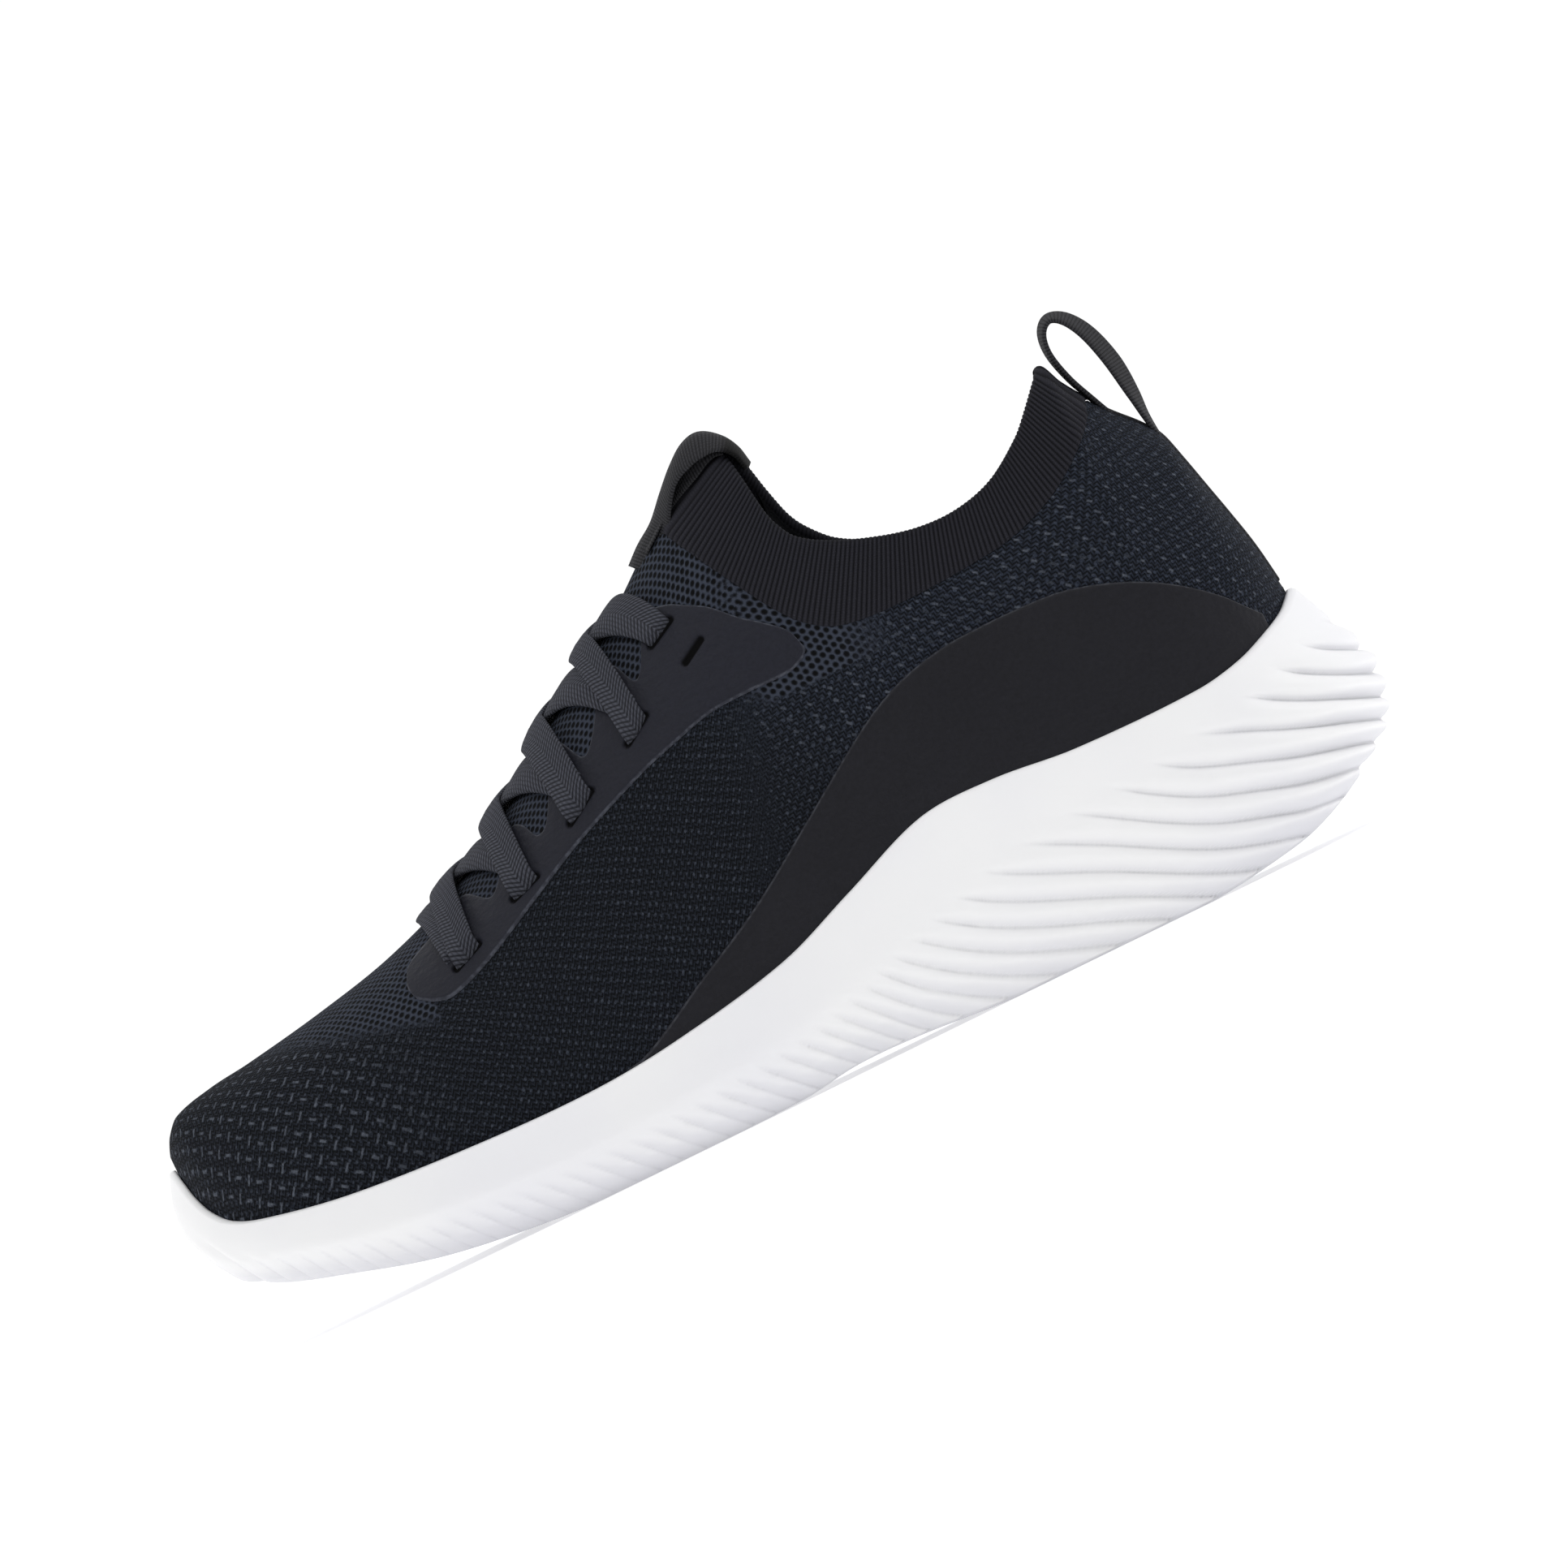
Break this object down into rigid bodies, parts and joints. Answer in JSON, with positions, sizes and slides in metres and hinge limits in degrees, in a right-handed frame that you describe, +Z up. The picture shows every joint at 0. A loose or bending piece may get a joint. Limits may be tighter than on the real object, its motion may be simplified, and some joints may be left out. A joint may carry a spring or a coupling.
{
  "type": "running shoe",
  "caption": "Left low-cut running shoe: knit sock-style upper with fused overlays and flat laces on a thick ribbed foam sole, with a flexing toe.",
  "frame": {"origin": "middle of the shoe's footprint, at the ground", "axes": "toe along -X, heel along +X, lateral side -Y, medial side +Y, +Z up"},
  "size_m": [0.2998, 0.1084, 0.1474],
  "materials": {
    "foam": "moulded white foam, satin skin",
    "outsole": "white rubber, matt",
    "board": "grey felt board",
    "lining": "black knit lining",
    "knit": "near-black navy knit with small lighter float stitches",
    "rib": "fine rib knit, charcoal",
    "overlay": "thin fused film, charcoal, soft sheen",
    "webbing": "woven polyester tape, dark grey"
  },
  "bodies": {
    "rearfoot": {"midsole_rear": "foam", "outsole_heel_pad": "outsole", "outsole_ball_pad": "outsole", "strobel_rear": "board", "knit_rear": "knit", "knit_flex_zone": "knit", "heel_counter": "board", "collar_rib": "rib", "collar_foam_lateral": "board", "collar_foam_medial": "board", "lining": "lining", "eyestay_lateral": "overlay", "eyestay_medial": "overlay", "saddle_lateral": "overlay", "saddle_medial": "overlay", "heel_seam_tape": "webbing", "lace": "webbing", "tongue_tab": "overlay", "heel_loop_ends": "webbing"},
    "forefoot": {"midsole_forefoot": "foam", "outsole_toe_pad": "outsole", "strobel_forefoot": "board", "sockliner_toe": "lining", "knit_toe_box": "knit", "toe_puff": "board"},
    "insole": {"sockliner": "lining"},
    "pull_loop": {"heel_loop": "webbing"}
  },
  "joints": [
    {"name": "toe_flex", "type": "hinge", "parent": "rearfoot", "child": "forefoot", "pos_m": [-0.08, 0, 0.0242], "axis": [0, 1, 0], "range_deg": [0, 30], "stiffness_Nm_per_rad": 0.6, "deforming": ["knit_flex_zone"]},
    {"name": "insole_lift", "type": "hinge", "parent": "rearfoot", "child": "insole", "pos_m": [-0.0785, 0, 0.0175], "axis": [0, -1, 0], "range_deg": [0, 4], "stiffness_Nm_per_rad": 0.3},
    {"name": "loop_swing", "type": "hinge", "parent": "rearfoot", "child": "pull_loop", "pos_m": [0.1258, 0, 0.1117], "axis": [0.7193, 0, -0.6947], "range_deg": [-25, 25], "stiffness_Nm_per_rad": 0.01}
  ]
}
